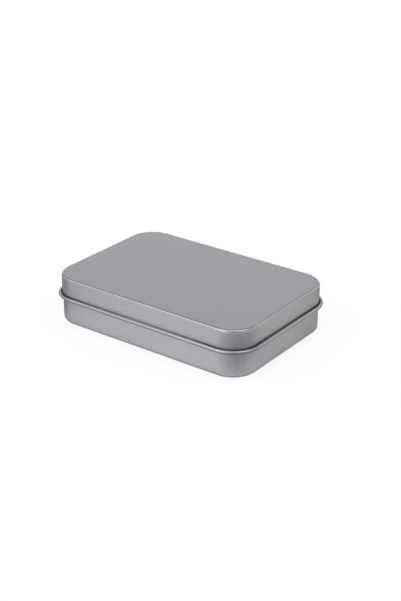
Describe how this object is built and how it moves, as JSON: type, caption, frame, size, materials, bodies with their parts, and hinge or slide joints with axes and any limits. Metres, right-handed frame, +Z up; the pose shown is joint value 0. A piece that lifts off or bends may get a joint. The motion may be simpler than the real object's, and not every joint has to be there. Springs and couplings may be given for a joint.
{
  "type": "hinged tin box",
  "caption": "Shut rectangular tin box of plain satin tinplate, with rounded corners and a hinged lid whose edge is rolled outwards.",
  "frame": {"origin": "centre of the underside, on the surface that the tin stands on", "axes": "+X along the tin's length, +Y across it towards the hinge, +Z up"},
  "size_m": [0.088, 0.0603, 0.0184],
  "materials": {
    "lid_tinplate": "bare satin tinplate, matt silver grey, with a faint rolling grain and a fine mottle",
    "base_tinplate": "the same bare satin tinplate as the lid"
  },
  "bodies": {
    "root": {"lid": "lid_tinplate", "base": "base_tinplate"}
  },
  "joints": []
}
